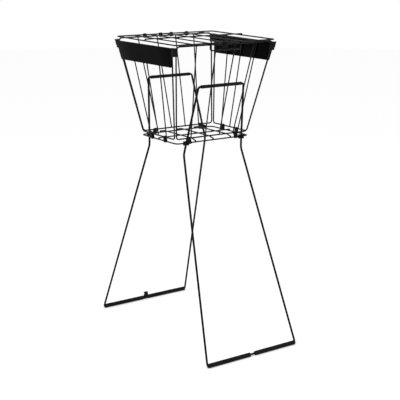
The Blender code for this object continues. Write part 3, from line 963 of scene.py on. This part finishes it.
def twoEyeOutline(nearHole, farHole, length):
    # both eyes open outwards; the far one is length along the first axis
    rim = max(nearHole, farHole) + snapClip["wall"]
    outline = []
    for centre, hole, facing in ((length, farHole, 0.0), (0.0, nearHole, math.pi)):
        outer = math.asin(0.5 * snapClip["mouth"] / rim)
        inner = math.asin(0.5 * snapClip["mouth"] / hole)
        outline += arcLine(centre, rim, facing - math.pi / 2, facing - outer, 8)
        outline += arcLine(centre, hole, facing - inner, facing + inner - math.tau, 28)
        outline += arcLine(centre, rim, facing + outer, facing + math.pi / 2, 8)
    return outline


def acrossWires(name, outline, near, far, axis, centre, width):
    # a clip's outline made solid along axis, its first direction running from near to far
    near, far, axis = Vector(near), Vector(far), Vector(axis)
    along = (far - near).normalized()
    matrix = Matrix((along, axis.cross(along), axis)).transposed().to_4x4()
    matrix.translation = near + axis * centre
    clip = flatSolid(name, outline, width, matrix, snapClip["edge"])
    settleShape(clip)
    return clip


def makeEyeClip(name, node, near, nearWire, far, farWire, axis, centre, width, gap):
    outline = twoEyeOutline(nearWire + gap, farWire + gap, (Vector(far) - Vector(near)).length)
    clip = acrossWires(name, outline, near, far, axis, centre, width)
    fitPiece(clip, "clip", "basket", node)


barSpace = panelWires["barRadius"] + snapClip["barGap"]
outerBar = onFront(1, barShares(panelWires["frontBars"])[-1], floorLine).x
endClipOffset = outerBar + barSpace + 0.5 * snapClip["endWidth"]
outerBar = onSide(1, barShares(panelWires["sideBars"])[-1], floorLine).y
sideClipOffset = outerBar - barSpace - 0.5 * snapClip["sideWidth"]
for fore, hand, sx, sy in quarters:
    where = fore.title() + hand.title()
    makeEyeClip(f"floorClip{where}", f"floor_clip_{fore}_{hand}",
                (0, sy * halfDepth(floorLine), floorLine), loopRadius,
                (0, sy * floorHalfDepth, frameLine), floorGrid["frameRadius"],
                (1, 0, 0), sx * endClipOffset, snapClip["endWidth"], seatGap)
    makeEyeClip(f"sideClip{where}", f"side_clip_{fore}_{hand}",
                (sx * halfWidth(floorLine), 0, floorLine), loopRadius,
                (sx * floorHalfWidth, 0, frameLine), floorGrid["frameRadius"],
                (0, 1, 0), sy * sideClipOffset, snapClip["sideWidth"], seatGap)
print("snap clips made")


# Legs, and the ribbed grips on their foot bars

gripSleeve = {
    "radius": 0.00637,
    "axisHeight": 0.0063751,
    "space": 0.017,          # bare wire between the two grips of a bar
    "endGap": 0.0017,        # grip's end to the middle of the upright wire
    "ribs": 14,
    "grooveDepth": 0.0007,
    "endRound": 0.0018,
    "collar": 0.0040,        # plain length at each end
    "grooveRamp": ((0.0, 0.0), (0.0006, 0.6), (0.0014, 1.0)),    # past the collar, share of depth
}
footLine = gripSleeve["axisHeight"]
kinkLine = frameLine - legWire["kinkDrop"]
stopOut = (floorHalfDepth + floorGrid["frameRadius"] + seatGap
           + legWire["leanFactor"] * legWire["radius"])
legSlope = (hingeOut - stopOut) / (hingeLine - frameLine)
kinkOut = hingeOut - legSlope * (hingeLine - kinkLine)
footOut = 0.5 * legWire["footSpread"]


def legLine(side):
    hingeX, kinkX, footX = (0.5 * legWire[key] for key in ("hingeWidth", "kinkWidth", "footWidth"))
    hingeY, kinkY, footY = side * hingeOut, side * kinkOut, side * footOut
    corners = [(-hingeX, hingeY, hingeLine), (-kinkX, kinkY, kinkLine), (-footX, footY, footLine),
               (footX, footY, footLine), (kinkX, kinkY, kinkLine), (hingeX, hingeY, hingeLine)]
    bends = [legWire[key] for key in ("hingeBend", "kinkBend", "footBend")]
    return bentLine(corners, bends + bends[::-1], steps=14)


def gripRing(x, side, reach, groove):
    ribs = gripSleeve["ribs"]
    ring = []
    for n in range(8 * ribs):
        turn = math.tau * n / (8 * ribs)
        r = reach - groove * max(0.0, math.cos(ribs * turn)) ** 3
        ring.append(Vector((x, side * footOut + r * math.sin(turn), footLine + r * math.cos(turn))))
    return ring


def makeGrip(name, node, side, hand, room, body):
    inner = 0.5 * gripSleeve["space"]
    outer = 0.5 * legWire["footWidth"] - gripSleeve["endGap"]
    stations = [(along, inset, 0.0) for along, inset in roundedEnd(gripSleeve["endRound"], 6)]
    stations += [(gripSleeve["collar"] + past, 0.0, share)
                 for past, share in gripSleeve["grooveRamp"]]
    places = [(inner + along, inset, share) for along, inset, share in stations]
    places += [(outer - along, inset, share) for along, inset, share in reversed(stations)]
    shape = bmesh.new()
    skinRings(shape, [gripRing(hand * x, side, gripSleeve["radius"] - inset,
                               gripSleeve["grooveDepth"] * share) for x, inset, share in places])
    grip = makePiece(name, shape)
    cutRoom(grip, room)
    settleShape(grip, 45)
    fitPiece(grip, "grip", body, node)


for fore, side in foreAndAft:
    shape = bmesh.new()
    sweepWire(shape, legLine(side), legWire["radius"], closed=True, sides=24)
    fitPiece(makePiece(f"legWire{fore.title()}", shape), "wire", f"{fore}_handle", f"{fore}_leg")
    room = wireRoom("legRoom", legLine(side), legWire["radius"] + seatGap)
    for hand, sx in handed:
        makeGrip(f"grip{fore.title()}{hand.title()}", f"{fore}_grip_{hand}", side, sx, room,
                 f"{fore}_handle")
    bpy.data.objects.remove(room, do_unlink=True)
print("legs and grips made")


# Forked catches on the floor frame, one round each leg wire

legCatch = {
    "width": 0.014,
    "height": 0.012,
    "inside": 0.0014,        # from the frame wire's centre to the back of the catch
    "slant": 1.03,           # half width of the leaning wire in the slot, in its radius
    "prong": 0.0045,
    "play": 0.0011,
    "snapLip": 0.0007,
    "lipLead": 0.0004,       # how much wider than the slot the mouth starts
    "lipDepth": 0.0012,
    "lipEnd": 0.0030,
    "bends": (0.0008, 0.0010, 0.0004, 0.0006, 0.0006, 0.0020),
    "edge": 0.0006,
}


def catchOutline():
    half = 0.5 * legCatch["width"]
    slot = legWire["radius"] + legCatch["play"]
    back = floorHalfDepth - legCatch["inside"]
    tip = stopOut + legCatch["prong"]
    deep = (stopOut - 0.5 * legSlope * legCatch["height"]
            - legCatch["slant"] * legWire["radius"] - runningGap)
    lip = slot - legCatch["snapLip"]
    right = [(half, back), (half, tip), (slot + legCatch["lipLead"], tip),
             (lip, tip - legCatch["lipDepth"]), (slot, tip - legCatch["lipEnd"]), (slot, deep)]
    corners = [(x, y, 0) for x, y in right] + [(-x, y, 0) for x, y in reversed(right)]
    return bentLine(corners, legCatch["bends"] + legCatch["bends"][::-1], steps=5)


def makeLegCatch(name, node, sx, sy, room):
    share = (hingeLine - frameLine) / (hingeLine - kinkLine)
    x = 0.5 * sx * (legWire["hingeWidth"] + (legWire["kinkWidth"] - legWire["hingeWidth"]) * share)
    place = Matrix(((1, 0, 0, x), (0, sy, 0, 0), (0, 0, 1, frameLine), (0, 0, 0, 1)))
    catch = flatSolid(name, catchOutline(), legCatch["height"], place, legCatch["edge"])
    cutRoom(catch, room)
    settleShape(catch)
    fitPiece(catch, "clip", "basket", node)


floorRoom = wireRoom("floorRoom", floorFrameLine(), floorGrid["frameRadius"] + seatGap)
for fore, hand, sx, sy in quarters:
    makeLegCatch(f"legCatch{fore.title()}{hand.title()}", f"leg_catch_{fore}_{hand}",
                 sx, sy, floorRoom)
bpy.data.objects.remove(floorRoom, do_unlink=True)
print("leg catches made")


# Handle clip, turning on the bare wire between the back grips

handleClip = {
    "width": 0.014,
    "wall": 0.0021,
    "hookTip": 25,           # degrees past level at the hook's open side
    "hookHeel": 15,
    "gripGap": 0.0006,       # between front and back grips when folded up
}


def hookOutline(hole, rim, length):
    # an open eye at the near end, and a hook that opens sideways at the far end
    tip, heel = math.radians(handleClip["hookTip"]), math.radians(handleClip["hookHeel"])
    lip = math.asin(0.5 * snapClip["mouth"] / rim)
    mouth = math.asin(0.5 * snapClip["mouth"] / hole)
    outline = arcLine(length, rim, math.pi / 2, -tip, 16)
    outline += arcLine(length, hole, -tip, math.pi + heel, 24)
    outline += arcLine(0, rim, -heel, lip - math.pi, 16)
    outline += arcLine(0, hole, mouth - math.pi, math.pi - mouth, 28)
    outline += arcLine(0, rim, math.pi - lip, math.pi / 2, 8)
    return outline


hole = legWire["radius"] + runningGap
pitch = 2 * footLine + handleClip["gripGap"]
hook = acrossWires("handleClip", hookOutline(hole, hole + handleClip["wall"], pitch),
                   (0, footOut, footLine), (0, footOut, footLine + pitch), (1, 0, 0), 0.0,
                   handleClip["width"])
fitPiece(hook, "clip", "clip", "handle_clip")
print("handle clip made")


# Lid: frame with welded bars and a cross wire, turning in four hinge clips

lidWires = {
    "sideInset": 0.0040,
    "endReach": 0.0025,
    "bend": 0.008,
    "rise": 0.003,           # back wire above the front wire
    "frameRadius": 0.0020,
    "barRadius": 0.0018,
    "bars": 5,
    "weld": ((0.0, 1.08), (0.0014, 1.15), (0.0021, 1.14), (0.0026, 1.08), (0.0032, 1.02),
             (0.0042, 1.0)),
    "bead": (0.0025, 0.0025, 0.0014),
    "beadInset": 0.0012,
    "beadLift": 0.52,        # share of the way up to the cross wire
    "clipWidth": 0.009,
    "clipOffsets": (0.019, 0.075),
}
lidX = 0.5 * basketSize["topWidth"] - lidWires["sideInset"]
lidY = 0.5 * basketSize["topDepth"] + lidWires["endReach"]


def onLid(x, y, lift=0.0):
    front = rimLine + loopRadius + seatGap + lidWires["frameRadius"]
    return Vector((x, y, front + lidWires["rise"] * (0.5 * y / lidY + 0.5) + lift))


shape = bmesh.new()
corners = [onLid(-lidX, -lidY), onLid(lidX, -lidY), onLid(lidX, lidY), onLid(-lidX, lidY)]
weldedLoop(shape, bentLine(corners, [lidWires["bend"]] * 4, steps=14), lidWires["frameRadius"])
barPlaces = [lidX * share for share in barShares(lidWires["bars"])]
for x in barPlaces:
    endedWire(shape, [onLid(x, -lidY), onLid(x, lidY)], lidWires["barRadius"], lidWires["weld"])
fitPiece(makePiece("lidFrame", shape), "wire", "lid", "lid_frame")

lift = lidWires["barRadius"] + lidWires["frameRadius"] + seatGap
shape = bmesh.new()
endedWire(shape, [onLid(-lidX, 0, lift), onLid(lidX, 0, lift)], lidWires["barRadius"],
          cutEnd(lidWires["barRadius"]))
beadX = lidX - lidWires["beadInset"]
for x in (-beadX, *barPlaces, beadX):
    addBead(shape, onLid(x, 0, lidWires["beadLift"] * lift), lidWires["bead"])
fitPiece(makePiece("lidCrossWire", shape), "wire", "lid", "lid_cross_wire")

clipPlaces = sorted(sign * offset for offset in lidWires["clipOffsets"] for sign in (-1, 1))
for k, x in enumerate(clipPlaces):
    makeEyeClip(f"lidHingeClip{k + 1}", f"lid_hinge_clip_{k + 1}",
                (0, halfDepth(backRimLine), backRimLine), loopRadius,
                onLid(0, lidY), lidWires["frameRadius"], (1, 0, 0), x, lidWires["clipWidth"],
                runningGap)
print("lid made")


# Wire pull and moulded catch on the lid's front wire

lidPull = {
    "offset": -0.004,        # pull and catch sit a little left of the middle
    "width": 0.106,
    "drop": 0.0155,
    "radius": 0.0020,
    "bend": 0.006,
    "weld": ((0.0, 1.18), (0.0006, 1.15), (0.0014, 1.05), (0.0024, 1.0)),
    "bead": (0.0028, 0.0024, 0.0016),
    "beadLift": 0.0002,      # above the pull's top
}
lidCatch = {
    "width": 0.014,
    "drop": 0.011,
    "wall": 0.0020,
    "edge": 0.0004,
    "ridges": 3,
    "ridgeDepth": 0.0005,
    "ridgeStart": 0.45,      # shares of the tongue's length
    "ridgeSpan": 0.35,
    "chamfer": 0.0006,
    "eyeEnd": 68,            # degrees, clear above the middle bar
}
pullY = -(halfDepth(rimLine) + loopRadius + 1.5 * seatGap + lidPull["radius"])
pullTop = onLid(0, -lidY).z - lidWires["frameRadius"] - seatGap
pullLow = rimLine - lidPull["drop"]
left, right = [lidPull["offset"] + side * 0.5 * lidPull["width"] for side in (-1, 1)]
corners = [(left, pullY, pullTop), (left, pullY, pullLow),
           (right, pullY, pullLow), (right, pullY, pullTop)]
shape = bmesh.new()
endedWire(shape, bentLine(corners, [lidPull["bend"]] * 4, steps=12, closed=False),
          lidPull["radius"], lidPull["weld"], sides=20)
for x in (left, right):
    addBead(shape, (x, 0.5 * (pullY - lidY), pullTop + lidPull["beadLift"]), lidPull["bead"])
fitPiece(makePiece("lidPull", shape), "wire", "lid", "lid_pull")

hole = lidWires["frameRadius"] + seatGap
rim = hole + lidCatch["wall"]
tongueFace = lidWires["endReach"] - loopRadius - 1.5 * seatGap
tongueLow = -(onLid(0, -lidY).z - rimLine + lidCatch["drop"])
eyeEnd = math.radians(lidCatch["eyeEnd"])
outline = [(-rim + lidCatch["chamfer"], tongueLow), (tongueFace, tongueLow)]
outline += arcLine(0, hole, -math.pi / 2, eyeEnd - math.tau, 22)
outline += arcLine(0, rim, eyeEnd, math.pi, 15)
steps = 8 * lidCatch["ridges"]
for k in range(1, steps + 1):
    wave = 0.5 - 0.5 * math.cos(math.tau * lidCatch["ridges"] * k / steps)
    outline.append((-rim + lidCatch["ridgeDepth"] * wave,
                    tongueLow * (lidCatch["ridgeStart"] + lidCatch["ridgeSpan"] * k / steps)))
outline.append((-rim, tongueLow + lidCatch["chamfer"]))
face = Matrix(((0, 0, 1, lidPull["offset"]), (1, 0, 0, -lidY), (0, 1, 0, onLid(0, -lidY).z),
               (0, 0, 0, 1)))
catch = flatSolid("lidCatch", outline, lidCatch["width"], face, lidCatch["edge"])
settleShape(catch)
fitPiece(catch, "clip", "lid", "lid_catch")
print("pull and lid catch made")
